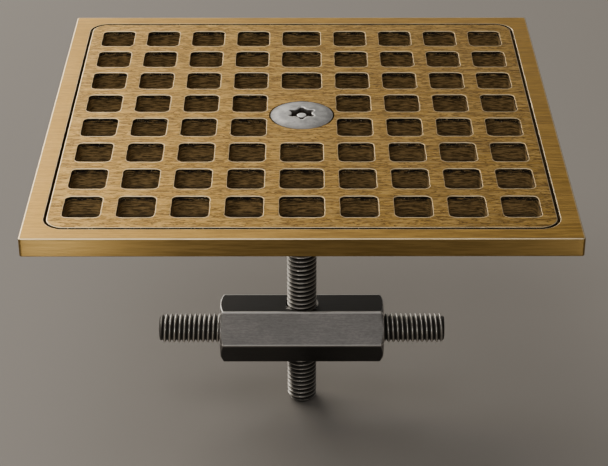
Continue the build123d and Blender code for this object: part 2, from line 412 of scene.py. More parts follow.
def add_hole(skin, centre_x, centre_y, half_x, border):
    """One drain hole: the land round it, its lip, its rough cast wall and its foot."""
    outline = hole_outline(centre_x, centre_y, half_x)

    def moved(outward, height, more_in_y=0.0):
        """The outline moved outwards, with the level streaks and the chips of a casting."""
        depth = TOP - height
        near_top = 1 - ease(depth / CHIPPED_DEPTH)
        points = []
        for x, y, out_x, out_y in outline:
            streak = wobble((x * 0.3, y * 0.3, height * 2.2), 1.2 * MM)
            chips = wobble((x, y, height * 1.5), 1.3 * MM, 7.0)
            push = outward + more_in_y * abs(out_y) + WALL_STREAK * streak * min(1.0, depth / MM)
            push += WALL_CHIP * near_top * (chips - 0.15)
            points.append((x + out_x * push, y + out_y * push))
        return points

    def wall_loop(height):
        return skin.loop(at_height(moved(0.0, height), height), dark=1.0)

    mouth = moved(HOLE_LIP, TOP)
    loops = [skin.loop(at_height(points, TOP)) for points in (border, between(border, mouth, 0.5))]
    # the mouth's top edge is bright with wear and painted highlight
    for outward, more_in_y, wear_and_highlight in ((0.10 * MM, 0.28 * MM, 0.0), (0.04 * MM, 0.18 * MM, 0.75)):
        ring = moved(HOLE_LIP + outward, TOP, more_in_y)
        loops.append(skin.loop(at_height(ring, TOP), wear_and_highlight))
    loops.append(skin.loop(at_height(mouth, TOP), wear_and_highlight=1.0))
    # the lip has a painted highlight on its front and back, and painted shade on its left and right
    arc = round_edge(HOLE_LIP, TOP - HOLE_LIP, HOLE_LIP, 90, 180)[1:]
    aside = [abs(p[2]) for p in outline]
    for (across, height), wear_and_highlight, dark in zip(arc, (1.0, 0.7, 0.0, 0.0), (0.0, 0.3, 0.8, 1.0)):
        lit = [wear_and_highlight * (1 - 0.8 * share) for share in aside]
        shaded = [min(1.0, dark * max(1.0, 2.0 * share)) for share in aside]
        loops.append(skin.loop(at_height(moved(across, height), height), lit, shaded))
    wall_top = TOP - HOLE_LIP
    loops.append(wall_loop(wall_top - LAND_STEP))
    for step in range(1, WALL_STEPS + 1):
        loops.append(wall_loop(wall_top + (PLATE_BOTTOM - wall_top) * step / WALL_STEPS))
    # the underside is painted dark, as painted shade
    loops.append(skin.loop(at_height(border, PLATE_BOTTOM), dark=0.6))
    skin.chain(loops)


def circle_in(border, radius, height):
    """Points of a circle about the Z axis, one for each point of a border round it."""
    return [polar(radius, math.atan2(y, x), height) for x, y in border]


def seat_section():
    """The countersink and bore, from the plate's top down, as (radius, height, wear and highlight, dark).
    """
    cone_depth = (HEAD_SEAT_RADIUS - BORE_RADIUS) / math.tan(HEAD_HALF_ANGLE)
    return [
        (HEAD_SEAT_RADIUS + 0.42 * MM, TOP, 0.0, 0.0),
        # painted shade: a dark ring on the plate round the head, and the countersink and bore below it
        (HEAD_SEAT_RADIUS + 0.26 * MM, TOP, 0.0, 0.8),
        (HEAD_SEAT_RADIUS, TOP - 0.22 * MM, 0.0, 1.0),
        (HEAD_SEAT_RADIUS, CONE_TOP, 0.0, 1.0),
        (BORE_RADIUS, CONE_TOP - cone_depth, 0.0, 1.0),
        (BORE_RADIUS, PLATE_BOTTOM, 0.0, 1.0),
    ]


def inside_a_hole(x, y):
    """Whether a point lies in one of the four drain holes that the boss reaches."""
    out_x = max(0.0, abs(abs(x) - FIRST_COLUMN_X) - (HOLE_HALF_X - HOLE_RADIUS))
    out_y = max(0.0, abs(abs(y) - ROW_PITCH / 2) - (HOLE_HALF_Y - HOLE_RADIUS))
    return math.hypot(out_x, out_y) < HOLE_RADIUS + 0.2 * MM


def boss_reach(angle, radius):
    """How far the boss reaches in a direction before it meets a drain hole."""
    reach = radius
    while inside_a_hole(reach * math.cos(angle), reach * math.sin(angle)):
        reach -= 0.02 * MM
    return reach


def add_boss(skin):
    """The round boss under the plate's middle, cut away where drain holes pass it."""
    boss_top = PLATE_BOTTOM + OVERLAP
    section = [(BOSS_RADIUS, boss_top), (BOSS_RADIUS, PLATE_BOTTOM - 0.7 * MM)]
    section += round_edge(BOSS_RADIUS - BOSS_FILLET, BOSS_BOTTOM + BOSS_FILLET, BOSS_FILLET, 0, -90, 5)
    angles = round_angles(BOSS_STEPS)
    loops = []
    for radius, height in section:
        points = [polar(boss_reach(a, radius), a, height) for a in angles]
        # the boss and its bore are painted dark, as painted shade under the plate
        loops.append(skin.loop(points, dark=0.5))
    inner = BORE_RADIUS - 0.005 * MM
    loops += skin.round_loops([(inner, BOSS_BOTTOM, 0.0, 0.8), (inner, boss_top, 0.0, 0.8)], angles)
    skin.chain(list(reversed(loops)), closed=True)


def grid_lines(centres, half):
    """Where the cells of the grid meet, from one side of the grid to the other."""
    return [-half] + [(a + b) / 2 for a, b in zip(centres, centres[1:])] + [half]


def make_strainer_mesh():
    """The strainer plate, cell by cell, then its flange, its body's sides and its boss."""
    skin = Skin()
    columns = sorted([-x for x in COLUMNS_X[1:]] + COLUMNS_X)
    rows = [(step - (ROW_COUNT - 1) / 2) * ROW_PITCH for step in range(ROW_COUNT)]
    x_lines = grid_lines(columns, GRID_HALF_X)
    y_lines = grid_lines(rows, GRID_HALF_Y)
    for column, x in enumerate(columns):
        for row, y in enumerate(rows):
            x_low, x_high = x_lines[column], x_lines[column + 1]
            if x == 0 and abs(y) < ROW_PITCH:
                if y < 0:
                    add_middle(skin, cell_border(x_low, x_high, y_lines[row], y_lines[row + 2], 2))
                continue
            border = cell_border(x_low, x_high, y_lines[row], y_lines[row + 1])
            half_x = CENTRE_HOLE_HALF_X if x == 0 else HOLE_HALF_X
            add_hole(skin, x, y, half_x, border)
    add_flange(skin, x_lines, y_lines)
    add_boss(skin)
    return skin.mesh("strainer_plate", CASTING_SMOOTH)


def add_middle(skin, border):
    """The plain land round the screw, with the countersink and bore through it."""
    section = seat_section()
    first_circle = circle_in(border, section[0][0], TOP)
    loops = [skin.loop(at_height(border, TOP))]
    loops.append(skin.loop(at_height(between(border, first_circle, 0.7), TOP)))
    for radius, height, wear_and_highlight, dark in section:
        loops.append(skin.loop(circle_in(border, radius, height), wear_and_highlight, dark))
    # the underside is painted dark, as painted shade
    loops.append(skin.loop(at_height(border, PLATE_BOTTOM), dark=0.6))
    skin.chain(loops)


def grid_rim(x_lines, y_lines):
    """The rectangle round all the cells, through every point on its cells' borders."""
    x_back, y_back = x_lines[::-1], y_lines[::-1]
    points = []
    for low, high in zip(y_lines, y_lines[1:]):
        points += [(x_lines[-1], y) for y in side_samples(low, high)]
    for high, low in zip(x_back, x_back[1:]):
        points += [(x, y_lines[-1]) for x in side_samples(high, low)]
    for high, low in zip(y_back, y_back[1:]):
        points += [(x_lines[0], y) for y in side_samples(high, low)]
    for low, high in zip(x_lines, x_lines[1:]):
        points += [(x, y_lines[0]) for x in side_samples(low, high)]
    return points


def flange_section():
    """The plate's side from its underside up, as (across, height, wear and highlight, dark)."""
    foot = round_edge(BODY_HALF - FLANGE_FOOT, PLATE_BOTTOM + FLANGE_FOOT, FLANGE_FOOT, -90, 0)
    lip_across, lip_height = FLANGE_HALF - SEAM_LIP, TOP - SEAM_LIP
    # the side facing the seam carries painted shade
    section = [(a, h, 0, 0.5) for a, h in foot]
    section += [(BODY_HALF, LEDGE_TOP, 0, 0.8), (FLANGE_HALF, LEDGE_TOP, 0, 1.0)]
    section += [(a, h, 0, 1) for a, h in round_edge(lip_across, lip_height, SEAM_LIP, 0, 45, 2)]
    # the top of the lip is bright with wear and painted highlight
    section += [(a, h, 1, 0) for a, h in round_edge(lip_across, lip_height, SEAM_LIP, 56, 90, 2)]
    return section + [(lip_across - step * LAND_STEP, TOP, 0, 0) for step in (1, 2)]


def add_flange(skin, x_lines, y_lines):
    """The plate's border: its top, edge bright with wear and painted highlight, flange side, underside and
    body side.
    """
    rim = grid_rim(x_lines, y_lines)
    loops = []
    for across, height, wear_and_highlight, dark in flange_section():
        if across <= BODY_HALF:
            radius = BODY_RADIUS + across - BODY_HALF
        else:
            radius = FLANGE_RADIUS + across - FLANGE_HALF
        points = rounded_square(across, radius, height)
        if height > TOP - 1.1 * SEAM_LIP and across > FLANGE_HALF - 1.1 * SEAM_LIP:
            points = lowered(points, 5 * MM, 3.0)
        loops.append(skin.loop(points, float(wear_and_highlight), float(dark)))
    skin.chain(loops)
    skin.zip_around(skin.loop(at_height(rim, TOP)), loops[-1])
    # the underside is painted dark, as painted shade
    skin.zip_around(skin.loop(at_height(rim, PLATE_BOTTOM), dark=0.6), loops[0], upward=False)


# ---------------------------------------------------------------- screw head
def drive_radius(angle):
    """The drive recess's outline: round lobes joined by hollow arcs that meet them smoothly."""
    lobe_centre = DRIVE_POINTS - DRIVE_LOBE
    cosine = math.cos(math.radians(30))
    squares = DRIVE_LOBE**2 - lobe_centre**2 - DRIVE_WAIST**2
    room = DRIVE_WAIST - lobe_centre * cosine - DRIVE_LOBE
    hollow = (squares + 2 * lobe_centre * DRIVE_WAIST * cosine) / (2 * room)
    hollow_centre = DRIVE_WAIST + hollow
    share = DRIVE_LOBE / (DRIVE_LOBE + hollow)
    meeting_x = lobe_centre + share * (hollow_centre * cosine - lobe_centre)
    meeting = math.atan2(share * hollow_centre / 2, meeting_x)
    off_lobe = abs(angle % math.radians(60) - math.radians(30))
    if off_lobe < meeting:
        across = lobe_centre * math.sin(off_lobe)
        return lobe_centre * math.cos(off_lobe) + math.sqrt(DRIVE_LOBE**2 - across**2)
    off_hollow = math.radians(30) - off_lobe
    across = hollow_centre * math.sin(off_hollow)
    return hollow_centre * math.cos(off_hollow) - math.sqrt(hollow**2 - across**2)


def dome_height(radius):
    """Height of the head's domed top at a distance from its axis."""
    dome = (HEAD_RADIUS**2 + DOME_HEIGHT**2) / (2 * DOME_HEIGHT)
    return HEAD_TOP - dome + math.sqrt(dome**2 - radius**2)


def head_side(dome_edge):
    """The neck, cone and thin rim, up to the dome, as (radius, height, wear and highlight, dark)."""
    cone_bottom = CONE_TOP - (HEAD_RADIUS - THREAD_RADIUS) / math.tan(HEAD_HALF_ANGLE)
    return [
        (THREAD_RADIUS - NECK_CHAMFER, NECK_BOTTOM, 0, 0.6),
        (THREAD_RADIUS, NECK_BOTTOM + NECK_CHAMFER, 0, 0.5),
        (THREAD_RADIUS, cone_bottom, 0, 0.5),
        # painted shade on the cone and round the rim, and a painted highlight on the rim's top edge
        (HEAD_RADIUS - 0.05 * MM, CONE_TOP, 0, 0.8),
        (HEAD_RADIUS, CONE_TOP + 0.05 * MM, 0, 0.3),
        (HEAD_RADIUS, TOP - 0.12 * MM, 0, 0.1),
        (HEAD_RADIUS - 0.3 * (HEAD_RADIUS - dome_edge), TOP + 0.03 * MM, 0.5, 0.4),
        (dome_edge, dome_height(dome_edge) - 0.01 * MM, 0.2, 0.5),
    ]


def pin_section():
    """The pin in the recess, from the floor up, as (radius, height, wear and highlight, dark)."""
    foot = 0.1 * MM
    rounding = round_edge(PIN_RADIUS - PIN_ROUND, PIN_TOP - PIN_ROUND, PIN_ROUND, 0, 90)
    section = [(PIN_RADIUS + foot, DRIVE_FLOOR, 0.0, 0.9), (PIN_RADIUS, DRIVE_FLOOR + foot, 0.0, 0.9)]
    for radius, height in rounding:
        # painted highlight on the pin's top, painted shade on its foot and side
        bright = height > PIN_TOP - PIN_ROUND
        section.append((radius, height, float(bright), 0.0 if bright else 0.9))
    return section


def make_head_mesh():
    """The screw's head: plain neck, cone, thin rim, dome, drive recess and the pin in it."""
    skin = Skin()
    angles = round_angles(HEAD_STEPS)
    dome_edge = HEAD_RADIUS - 0.22 * MM
    loops = skin.round_loops(head_side(dome_edge), angles)
    skin.cap(loops[0], upward=False)
    # the dome, with a ring of painted shade near its rim
    dome_marks = ((0.04, 0.35), (0.12, 0.22), (0.3, 0.0), (0.5, 0.0), (0.7, 0.0), (0.88, 0.0))
    for share, dark in dome_marks:
        points = []
        for a in angles:
            radius = dome_edge + (drive_radius(a) + 0.2 * MM - dome_edge) * share
            points.append(polar(radius, a, dome_height(radius)))
        loops.append(skin.loop(points, dark=dark))
    # the recess's edge, bright with wear and painted highlight
    for outward, drop, wear_and_highlight in ((0.2 * MM, 0.0, 0.5), (0.09 * MM, 0.04 * MM, 1.0), (0.0, DRIVE_LIP, 1.0)):
        points = []
        for a in angles:
            radius = drive_radius(a) + outward
            points.append(polar(radius, a, dome_height(radius) - drop))
        loops.append(skin.loop(points, wear_and_highlight))
    # the recess's wall, with painted shade darker towards its floor
    for share, dark in ((0.15, 0.6), (0.5, 0.9), (1.0, 1.0)):
        points = []
        for a in angles:
            radius = drive_radius(a)
            top = dome_height(radius) - DRIVE_LIP
            points.append(polar(radius, a, top + (DRIVE_FLOOR - top) * share))
        loops.append(skin.loop(points, dark=dark))
    loops += skin.round_loops(pin_section(), angles)
    skin.chain(loops)
    skin.cap(loops[-1])
    return skin.mesh("screw_head", HEAD_SMOOTH)


# ---------------------------------------------------------------- threads
def thread_section():
    """One turn's section as (share of the pitch, depth below the crest), crest first."""
    rise = [(0.0, 0.0), (0.045, 0.0), (0.08, 0.04), (0.115, 0.13)]
    rise += [(0.24, 0.47), (0.365, 0.86), (0.42, 0.97)]
    fall = [(1 - share, drop) for share, drop in reversed(rise[1:])]
    return [(share, drop * THREAD_DEPTH) for share, drop in rise + [(0.5, 1.0)] + fall]


def add_thread(skin, low, high, low_chamfer, high_chamfer, hand=1):
    """A threaded rod along +Z, with both ends chamfered. hand is 1 for right, -1 for left."""
    section = thread_section() + [(1.0, 0.0)]
    turns = math.ceil((high - low) / THREAD_PITCH) + 2
    start = low - THREAD_PITCH
    first = len(skin.points)
    steps = turns * TURN_STEPS
    for step in range(steps + 1):
        angle = hand * math.tau * step / TURN_STEPS
        for share, drop in section:
            height = start + THREAD_PITCH * (step / TURN_STEPS + share)
            height = min(high, max(low, height))
            cut_back = max(low_chamfer - (height - low), high_chamfer - (high - height), 0.0)
            depth = max(drop, cut_back)
            depth_share = depth / THREAD_DEPTH
            skin.points.append(polar(THREAD_RADIUS - depth, angle, height))
            # crests bright with wear and painted highlight, roots darkened by depth as painted shade
            skin.wear_and_highlight.append(max(0.0, 1 - 5 * depth_share))
            skin.dark.append(min(1.0, depth_share))
    across = len(section)
    for step in range(steps):
        for i in range(across - 1):
            here = first + step * across + i
            face = (here, here + across, here + across + 1, here + 1)
            skin.faces.append(face if hand > 0 else tuple(reversed(face)))
    for height, chamfer, upward in ((low, low_chamfer, False), (high, high_chamfer, True)):
        radius = THREAD_RADIUS - chamfer
        rim = skin.loop([polar(radius, a, height) for a in round_angles(TURN_STEPS)], dark=0.6)
        skin.cap(rim, upward)


def make_shank_mesh():
    """The screw's thread from its tip up into its neck."""
    skin = Skin()
    add_thread(skin, screw_low[2], NECK_BOTTOM + 0.6 * MM, TIP_CHAMFER, SHANK_TOP_CHAMFER)
    return skin.mesh("screw_thread", THREAD_SMOOTH)


def make_stud_mesh(side):
    """A stud with chamfered ends. side is 1 on the right, with a right-hand thread."""
    skin = Skin()
    add_thread(skin, stud_low[0], stud_high[0], STUD_CHAMFER, STUD_CHAMFER, hand=side)
    place = Matrix.Translation((0, 0, BAR_AXIS_Z)) @ Matrix.Rotation(math.radians(90 * side), 4, "Y")
    skin.points = [place @ p for p in skin.points]
    return skin.mesh("stud_thread_" + ("right" if side > 0 else "left"), THREAD_SMOOTH)


# ---------------------------------------------------------------- clamp bar
def hexagon_radius(angle):
    """Distance to the bar's hexagon, flats up and down, with slightly rounded edges."""
    off_flat = (angle - math.radians(90) + math.radians(30)) % math.radians(60) - math.radians(30)
    return min(BAR_HALF_FLATS / math.cos(off_flat), BAR_CORNER_RADIUS - BAR_EDGE_ROUND)


def bar_angles():
    """Directions round the bar, closer together at the hexagon's edges."""
    offsets = (-22, -15, -9, -5, -2.6, -1.7, -1.1, -0.5, 0, 0.5, 1.1, 1.7, 2.6, 5, 9, 15, 22, 30)
    return [math.radians(60 * edge) + math.radians(offset) for edge in range(6) for offset in offsets]


def bar_places():
    """Places along the bar, closer together at its ends and beside its upright bore."""
    from_end = [0.0, 0.12, 0.3, 0.5, 0.7, 0.9, 1.1, 1.25, 1.35, 1.5, 1.8, 4.0, 8.0, 16.0]
    left = [-BAR_HALF_LENGTH + d * MM for d in from_end]
    middle = [x * (BORE_RADIUS + 0.6 * MM) for x in (-1.2, -1, 0, 1, 1.2)]
    return left + middle + [BAR_HALF_LENGTH - d * MM for d in reversed(from_end)]


def smooth_least(first, second, blend):
    """The smaller of two lengths, blended where they are close to each other."""
    share = max(0.0, blend - abs(first - second)) / blend
    return min(first, second) - share * share * blend / 4


def round_bar(x, radius, angle):
    """A point about the bar's axis."""
    return Vector((x, radius * math.cos(angle), BAR_AXIS_Z + radius * math.sin(angle)))


def add_bar_loop(skin, x, angles):
    """A loop round the bar: hexagon or turned end, with a painted highlight on its edges, brightest on the
    upper side.
    """
    from_end = BAR_HALF_LENGTH - abs(x)
    at_end = from_end < BAR_END_ROUND
    turned = BAR_END_RADIUS + from_end * (BAR_CORNER_RADIUS - BAR_END_RADIUS) / BAR_END_TAPER
    if at_end:
        turned -= BAR_END_ROUND * (1 - from_end / BAR_END_ROUND) ** 2
    points = []
    wear_and_highlight = []
    for a in angles:
        flat = hexagon_radius(a)
        points.append(round_bar(x, smooth_least(flat, turned, BAR_BLEND), a))
        on_edge = flat > BAR_CORNER_RADIUS - BAR_BLEND or abs(flat - turned) < BAR_BLEND
        # painted highlight: full on the upper side, faint on the lower
        most = 1.0 if a % math.tau < math.pi else 0.3
        wear_and_highlight.append(most * float(on_edge or at_end))
    return skin.loop(points, wear_and_highlight)


def make_bar_mesh():
    """The hexagonal bar with turned ends, and its two plain bores for the threads cut through it."""
    skin = Skin()
    angles = bar_angles()
    loops = [add_bar_loop(skin, x, angles) for x in bar_places()]
    ring = BORE_RADIUS + 0.8 * MM
    ends = (-BAR_HALF_LENGTH, BAR_HALF_LENGTH)
    rings = [skin.loop([round_bar(x, ring, a) for a in angles]) for x in ends]
    loops = [rings[0]] + loops + [rings[1]]
    skin.chain(loops)
    skin.cap(loops[0], upward=False)
    skin.cap(loops[-1])
    bar = skin.mesh("clamp_bar_blank", BAR_SMOOTH)
    to_axis = Matrix.Translation((0, 0, BAR_AXIS_Z))
    upright = make_bore_mesh(BAR_HALF_FLATS, to_axis)
    along = make_bore_mesh(BAR_HALF_LENGTH, to_axis @ Matrix.Rotation(math.radians(90), 4, "Y"))
    return cut(cut(bar, upright), along)


def make_bore_mesh(half_length, place):
    """A closed cutter for a bore with chamfered mouths."""
    mouth = BORE_RADIUS + BORE_CHAMFER
    beyond = 1.0 * MM
    section = [
        (mouth + beyond, -half_length - beyond),
        (mouth, -half_length),
        (BORE_RADIUS, -half_length + BORE_CHAMFER),
        (BORE_RADIUS, half_length - BORE_CHAMFER),
        (mouth, half_length),
        (mouth + beyond, half_length + beyond),
    ]
    skin = Skin()
    # the bores' walls carry painted shade
    loops = skin.round_loops([(r, h, 0.0, 1.0) for r, h in section], round_angles(BORE_STEPS))
    skin.chain(loops)
    skin.cap(loops[0], upward=False)
    skin.cap(loops[-1])
    skin.points = [place @ p for p in skin.points]
    return skin.mesh("bore_cutter", BAR_SMOOTH)


def cut(mesh, cutter_mesh):
    """The mesh with a cutter taken out of it."""
    whole = bpy.data.objects.new("whole", mesh)
    cutter = bpy.data.objects.new("cutter", cutter_mesh)
    for piece in (whole, cutter):
        bpy.context.scene.collection.objects.link(piece)
    modifier = whole.modifiers.new("cut", "BOOLEAN")
    modifier.object = cutter
    modifier.operation = "DIFFERENCE"
    modifier.solver = "EXACT"
    view = bpy.context.evaluated_depsgraph_get()
    result = bpy.data.meshes.new_from_object(whole.evaluated_get(view))
    for piece in (whole, cutter):
        bpy.data.objects.remove(piece)
    shade(result, BAR_SMOOTH)
    return result


# ---------------------------------------------------------------- materials
# linear red, green and blue
BRASS_WARM = (0.62, 0.372, 0.080)
BRASS_PALE = (0.66, 0.400, 0.096)
BRASS_BROWN = (0.36, 0.195, 0.042)
# painted shade in the ripples' dips, painted shade on the upright sides, painted highlight on the ripples'
# ridges, and wear with painted highlight on edges
BRASS_RIPPLE_SHADE = (0.070, 0.034, 0.008)
BRASS_SHADED_SIDE = (0.245, 0.163, 0.056)
BRASS_SHADED_SIDE_PALE = (0.320, 0.212, 0.074)
BRASS_LIT = (0.98, 0.70, 0.27)
BRASS_WEAR_AND_HIGHLIGHT = (1.0, 0.84, 0.56)
# black, dark bark and brown bark of the walls: patina with painted shadow and painted shade
PATINA_AND_SHADE_BLACK = (0.006, 0.004, 0.002)
PATINA_AND_SHADE_DARK = (0.085, 0.053, 0.017)
PATINA_AND_SHADE_BROWN = (0.420, 0.275, 0.105)
BAR_STEEL = (0.26, 0.247, 0.238)
BAR_DULL = (0.225, 0.215, 0.207)
# dark of the grain, and of painted shade on the bar's top, lower faces and bores
BAR_DARK = (0.020, 0.019, 0.018)
# painted highlight on the bar's edges
BAR_EDGE_HIGHLIGHT = (0.60, 0.58, 0.56)

# the screw's and studs' steel, each as pale, dull, bright for wear and painted highlight, and deep for
# patina and painted shade
HEAD_TONES = ((0.60, 0.595, 0.585), (0.38, 0.38, 0.38), (0.95, 0.94, 0.92), (0.060, 0.040, 0.028))
SHANK_TONES = ((0.27, 0.26, 0.24), (0.20, 0.19, 0.18), (0.66, 0.63, 0.58), (0.014, 0.012, 0.011))
STUD_TONES = ((0.50, 0.48, 0.44), (0.38, 0.36, 0.34), (0.95, 0.92, 0.86), (0.020, 0.018, 0.016))


class Paint:
    """A procedural metal, with short ways to add the nodes that it needs."""

    def __init__(self, name):
        material = bpy.data.materials.new(name)
        material.use_nodes = True
        self.material = material
        self.tree = material.node_tree
        self.surface = self.tree.nodes["Principled BSDF"]
        coordinates = self.tree.nodes.new("ShaderNodeTexCoord")
        self.place = coordinates.outputs["Object"]
        self.facing = coordinates.outputs["Normal"]

    def new(self, kind, inputs, **settings):
        node = self.tree.nodes.new(kind)
        for key, value in settings.items():
            setattr(node, key, value)
        for key, value in inputs.items():
            self.feed(node.inputs[key], value)
        return node

    def feed(self, socket, value):
        if isinstance(value, bpy.types.NodeSocket):
            self.tree.links.new(value, socket)
        else:
            socket.default_value = value

    def mark(self, name):
        return self.new("ShaderNodeAttribute", {}, attribute_name=name).outputs["Fac"]

    def axis(self, vector, name):
        return self.new("ShaderNodeSeparateXYZ", {0: vector}).outputs[name]

    def calc(self, operation, first, second=0.0, third=0.0):
        inputs = {0: first, 1: second, 2: third}
        return self.new("ShaderNodeMath", inputs, operation=operation).outputs[0]

    def span(self, value, low, high, to_low=0.0, to_high=1.0):
        """Smooth step of a value from low to high."""
        inputs = {0: value, 1: low, 2: high, 3: to_low, 4: to_high}
        return self.new("ShaderNodeMapRange", inputs, interpolation_type="SMOOTHSTEP").outputs[0]

    def band(self, value, level):
        """1 where a value is within 0.010 of a level, falling to 0 at 0.055 from it."""
        off = self.calc("ABSOLUTE", self.calc("SUBTRACT", value, level))
        return self.span(off, 0.055, 0.010)

    def grain(self, size, detail=4.0, seed=0.0, rough=0.6, distortion=0.0):
        """Noise with features of about the given size in millimetres along X, Y and Z."""
        scale = [1 / (length * MM) for length in size]
        inputs = {"Vector": self.place, "Scale": scale, "Location": [seed, seed * 1.7, seed * 2.3]}
        stretched = self.new("ShaderNodeMapping", inputs).outputs[0]
        inputs = {"Vector": stretched, "Scale": 1.0, "Detail": detail, "Roughness": rough}
        inputs["Distortion"] = distortion
        return self.new("ShaderNodeTexNoise", inputs).outputs[0]

    def mix(self, share, first, second):
        return self.new("ShaderNodeMix", {0: share, 2: first, 3: second}).outputs[0]

    def tint(self, share, first, second):
        """Mix of two colours, each a socket or linear red, green and blue."""
        node = self.new("ShaderNodeMix", {}, data_type="RGBA")
        self.feed(node.inputs[0], share)
        for key, colour in ((6, first), (7, second)):
            plain = not isinstance(colour, bpy.types.NodeSocket)
            self.feed(node.inputs[key], (*colour, 1.0) if plain else colour)
        return node.outputs[2]

    def finish(self, colour, roughness, metallic, height, depth):
        """Joins everything to the surface; height is turned into a bump of some depth in metres."""
        bump = self.new("ShaderNodeBump", {"Height": height, "Distance": depth, "Strength": 1.0})
        self.feed(self.surface.inputs["Base Color"], colour)
        self.feed(self.surface.inputs["Roughness"], roughness)
        self.feed(self.surface.inputs["Metallic"], metallic)
        self.feed(self.surface.inputs["Normal"], bump.outputs[0])
        return self.material


def brass_skin(paint, wear_and_highlight, hairs, ripple, relief, seed):
    """Colour of the brushed brass, with painted shade and painted highlight beside its ripples, painted
    shade on its upright sides, and bright wear with painted highlight on its edges.
    """
    clouds = paint.grain((45, 22, 22), 2, seed + 9)
    # painted shade in a dip and a painted highlight on a ridge beside each ripple
    dip = paint.calc("MULTIPLY", paint.band(ripple, 0.46), relief)
    ridge = paint.calc("MULTIPLY", paint.band(ripple, 0.575), relief)
    colour = paint.tint(paint.span(clouds, 0.3, 0.7), BRASS_WARM, BRASS_PALE)
    colour = paint.tint(paint.span(hairs, 0.60, 0.40, 0.0, 0.42), colour, BRASS_BROWN)
    colour = paint.tint(paint.calc("MULTIPLY", dip, 0.76), colour, BRASS_RIPPLE_SHADE)
    colour = paint.tint(paint.calc("MULTIPLY", ridge, 0.34), colour, BRASS_LIT)
    # the upright sides are painted darker, as painted shade
    aside = paint.span(paint.axis(paint.facing, "Z"), 0.75, 0.35, 0.0, 0.9)
    side = paint.tint(paint.span(hairs, 0.35, 0.65), BRASS_SHADED_SIDE, BRASS_SHADED_SIDE_PALE)
    colour = paint.tint(aside, colour, side)
    # edges are painted bright, as wear and painted highlight
    return paint.tint(paint.calc("MULTIPLY", wear_and_highlight, 0.85), colour, BRASS_WEAR_AND_HIGHLIGHT)


def wall_skin(paint, bark, seed):
    """Colour of a rough cast wall: a black painted shadow under its lip, then brown bark of patina and
    painted shade, and painted shade going black at its foot.
    """
    depth = paint.calc("SUBTRACT", TOP, paint.axis(paint.place, "Z"))
    rough_top = paint.span(depth, 2.6 * MM, 0.8 * MM)
    cracks = paint.calc("MULTIPLY", rough_top, paint.span(bark, 0.60, 0.50))
    colour = paint.tint(paint.span(bark, 0.37, 0.63), PATINA_AND_SHADE_DARK, PATINA_AND_SHADE_BROWN)
    colour = paint.tint(cracks, colour, PATINA_AND_SHADE_BLACK)
    # painted shadow: black just under the lip
    colour = paint.tint(paint.span(depth, 0.75 * MM, 0.25 * MM), colour, PATINA_AND_SHADE_BLACK)
    # painted shade: darker towards the foot of the wall
    colour = paint.tint(paint.span(depth, 5.0 * MM, 8.0 * MM, 0.0, 0.8), colour, PATINA_AND_SHADE_BLACK)
    specks = paint.span(paint.grain((0.55, 0.55, 0.55), 3, seed + 18), 0.62, 0.70, 0.0, 0.6)
    return paint.tint(paint.calc("MULTIPLY", specks, rough_top), colour, BRASS_WEAR_AND_HIGHLIGHT)


def brass(name, relief, seed):
    """Brushed brass, its grain along X, with old brown patina and painted shade in its hollows, a painted
    shadow under each hole's lip and painted shade towards the holes' feet.

    relief is how strongly the short wavy ripples left by casting and brushing show, in their bump and in
    their painted shade and highlight.
    """
    paint = Paint(name)
    wear_and_highlight, dark = paint.mark("wear_and_highlight"), paint.mark("patina_and_shade")
    hairs = paint.grain((15, 0.85, 0.85), 3, seed, 0.65)
    ripple = paint.grain((5.0, 1.1, 1.1), 3, seed + 5, 0.6, 0.6)
    bark = paint.grain((3.0, 3.0, 0.36), 5, seed + 14, 0.65)
    skin = brass_skin(paint, wear_and_highlight, hairs, ripple, relief, seed)
    colour = paint.tint(dark, skin, wall_skin(paint, bark, seed))
    roughness = paint.mix(paint.span(hairs, 0.3, 0.7), 0.39, 0.50)
    roughness = paint.mix(dark, roughness, 0.60)
    metallic = paint.mix(dark, 1.0, 0.45)
    height = paint.calc("MULTIPLY_ADD", ripple, 5.0 * relief, hairs)
    height = paint.mix(dark, height, paint.calc("MULTIPLY", bark, 5.0))
    return paint.finish(colour, roughness, metallic, height, 0.045 * MM)


def screw_metal(name, tones, seed, sheen=(0.26, 0.40)):
    """Steel for the screw and studs: bright with wear and painted highlight, dark with patina and painted
    shade.

    sheen is the least and greatest roughness of the bare metal.
    """
    paint = Paint(name)
    wear_and_highlight, dark = paint.mark("wear_and_highlight"), paint.mark("patina_and_shade")
    clouds = paint.grain((4, 4, 4), 4, seed)
    fine = paint.grain((0.35, 0.35, 0.35), 4, seed + 4)
    specks = paint.grain((0.9, 0.9, 0.9), 4, seed + 8)
    pale, dull, lit, deep = tones
    colour = paint.tint(paint.span(clouds, 0.35, 0.65), pale, dull)
    colour = paint.tint(paint.span(specks, 0.60, 0.75, 0.0, 0.45), colour, deep)
    colour = paint.tint(paint.calc("MULTIPLY", wear_and_highlight, 0.8), colour, lit)
    colour = paint.tint(dark, colour, deep)
    roughness = paint.mix(paint.span(fine, 0.3, 0.7), *sheen)
    roughness = paint.mix(dark, roughness, 0.6)
    metallic = paint.mix(dark, 1.0, 0.7)
    return paint.finish(colour, roughness, metallic, fine, 0.012 * MM)


